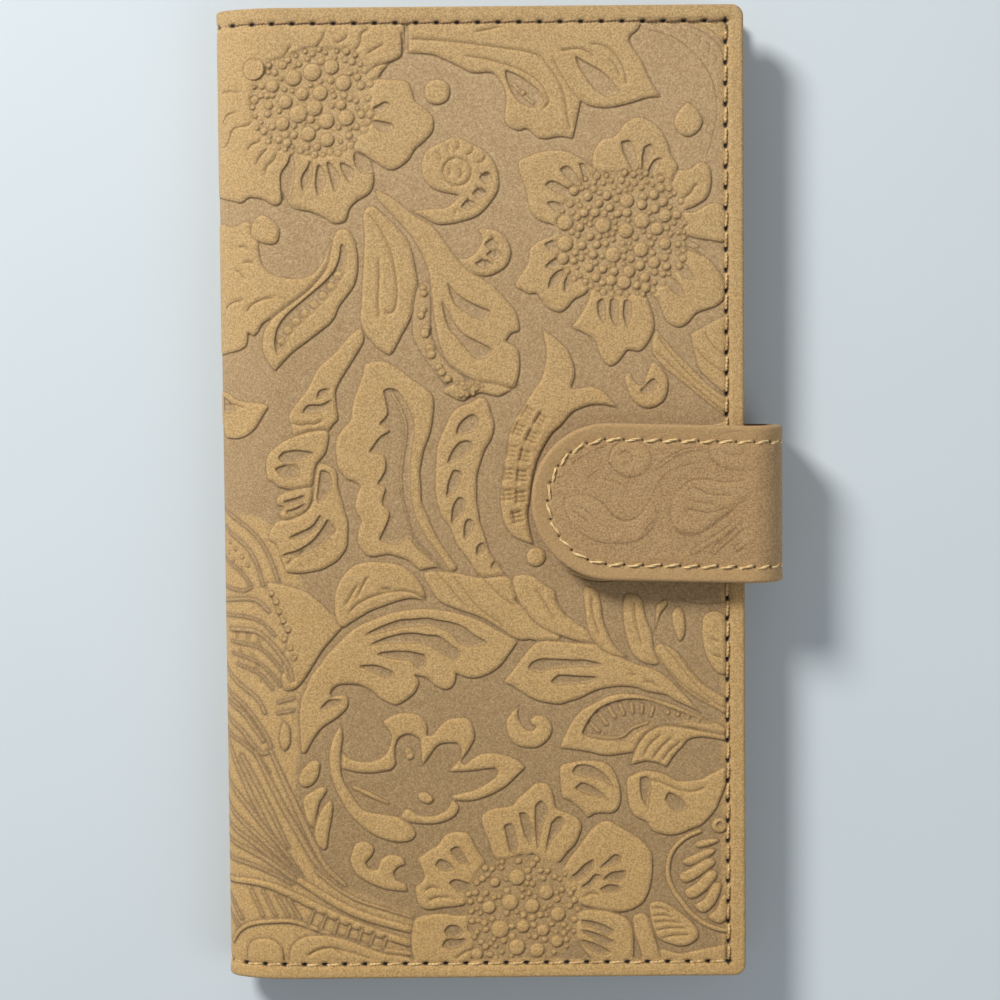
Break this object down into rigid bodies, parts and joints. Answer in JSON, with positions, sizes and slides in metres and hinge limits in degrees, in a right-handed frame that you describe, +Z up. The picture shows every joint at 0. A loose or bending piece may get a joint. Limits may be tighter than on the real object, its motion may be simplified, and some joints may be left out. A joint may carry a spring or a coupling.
{
  "type": "checkbook cover",
  "caption": "Folding leather checkbook cover with tooled floral outside, snap tab over the fore-edge, pockets and card slots inside.",
  "frame": {"origin": "middle of the closed cover's flat back, on the surface it lies on", "axes": "+X from the folded spine to the fore-edge with the tab, +Y along the spine, +Z up through the closed layers to the front"},
  "size_m": [0.0955, 0.165, 0.017],
  "materials": {
    "tooled_leather": "brushed nubuck, embossed",
    "tab_leather": "brushed nubuck",
    "lining_leather": "smooth, matt",
    "snap_metal": "satin",
    "magnet": "satin"
  },
  "bodies": {
    "back": {"back_cover_leather": "tooled_leather", "back_lining": "lining_leather", "checkbook_pocket": "lining_leather", "tab_root_leather": "tab_leather", "tab_root_lining": "lining_leather"},
    "spine_back": {"spine_leather_back": "tooled_leather", "spine_lining_back": "lining_leather"},
    "spine_middle": {"spine_leather_middle": "tooled_leather", "spine_lining_middle": "lining_leather"},
    "spine_front": {"spine_leather_front": "tooled_leather", "spine_lining_front": "lining_leather"},
    "front": {"front_cover_leather": "tooled_leather", "front_lining": "lining_leather", "register_pocket": "lining_leather", "card_slot_upper": "lining_leather", "card_slot_middle": "lining_leather", "card_slot_lower": "lining_leather", "snap_stud": "snap_metal", "snap_stud_washer": "snap_metal"},
    "tab_bend": {"tab_bend_leather": "tab_leather", "tab_bend_lining": "lining_leather"},
    "tab_flap": {"tab_flap_leather": "tab_leather", "tab_flap_lining": "lining_leather", "snap_socket_case": "snap_metal", "snap_ring_magnet": "magnet", "snap_socket_plate": "snap_metal", "snap_socket_washer": "snap_metal"}
  },
  "joints": [
    {"name": "spine_back_shoulder_fold", "type": "hinge", "parent": "back", "child": "spine_back", "pos_m": [-0.03781, 0, 0.00149], "axis": [0, -1, 0], "range_deg": [0, 30]},
    {"name": "spine_back_fold", "type": "hinge", "parent": "spine_back", "child": "spine_middle", "pos_m": [-0.04312, 0, 0.00443], "axis": [0, -1, 0], "range_deg": [0, 60]},
    {"name": "spine_front_fold", "type": "hinge", "parent": "spine_middle", "child": "spine_front", "pos_m": [-0.04312, 0, 0.00757], "axis": [0, -1, 0], "range_deg": [0, 60]},
    {"name": "spine_front_shoulder_fold", "type": "hinge", "parent": "spine_front", "child": "front", "pos_m": [-0.03781, 0, 0.01051], "axis": [0, -1, 0], "range_deg": [0, 30]},
    {"name": "tab_base_fold", "type": "hinge", "parent": "back", "child": "tab_bend", "pos_m": [0.04883, 0, 0.00287], "axis": [0, 1, 0], "range_deg": [0, 90]},
    {"name": "tab_top_fold", "type": "hinge", "parent": "tab_bend", "child": "tab_flap", "pos_m": [0.04883, 0, 0.01483], "axis": [0, 1, 0], "range_deg": [0, 90]}
  ],
  "couplings": [
    {"joint": "spine_back_fold", "follows": "spine_back_shoulder_fold", "ratio": 2},
    {"joint": "spine_front_fold", "follows": "spine_back_shoulder_fold", "ratio": 2},
    {"joint": "spine_front_shoulder_fold", "follows": "spine_back_shoulder_fold", "ratio": 1},
    {"joint": "tab_base_fold", "follows": "tab_top_fold", "ratio": 1}
  ]
}
